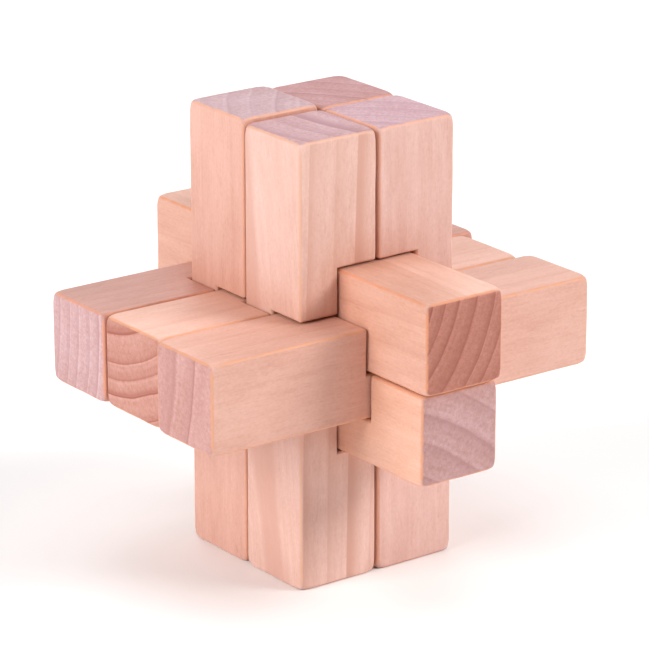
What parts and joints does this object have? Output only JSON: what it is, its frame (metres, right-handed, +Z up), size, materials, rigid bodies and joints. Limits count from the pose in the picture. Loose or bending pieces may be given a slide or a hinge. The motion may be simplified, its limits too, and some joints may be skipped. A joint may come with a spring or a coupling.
{
  "type": "wooden burr puzzle",
  "caption": "Interlocking burr puzzle of square hardwood bars: upright posts, a flat row and two cross bars notched together round a plain key bar that slides out.",
  "frame": {"origin": "on the ground under the middle of the lock, between the four post feet", "axes": "+Z up along the posts; X along the three row bars; Y along the two cross bars, with the key bar's proud end at -Y"},
  "size_m": [0.079, 0.0783, 0.0789],
  "materials": {
    "key_wood": "sanded pale hardwood, unvarnished, edges eased",
    "cross_wood": "sanded pale hardwood, unvarnished, edges eased",
    "row_wood": "sanded pale hardwood, unvarnished, edges eased",
    "post_wood": "sanded pale hardwood, unvarnished, edges eased"
  },
  "bodies": {
    "locked_bars": {"lower_cross_bar": "cross_wood", "left_row_bar": "row_wood", "middle_row_bar": "row_wood", "near_row_bar": "row_wood", "left_post": "post_wood", "front_post": "post_wood", "right_post": "post_wood", "back_post": "post_wood"},
    "key": {"key_bar": "key_wood"}
  },
  "joints": [
    {"name": "key_slide", "type": "slide", "parent": "locked_bars", "child": "key", "axis": [0, -1, 0], "range_m": [-0.068, 0.068]}
  ]
}
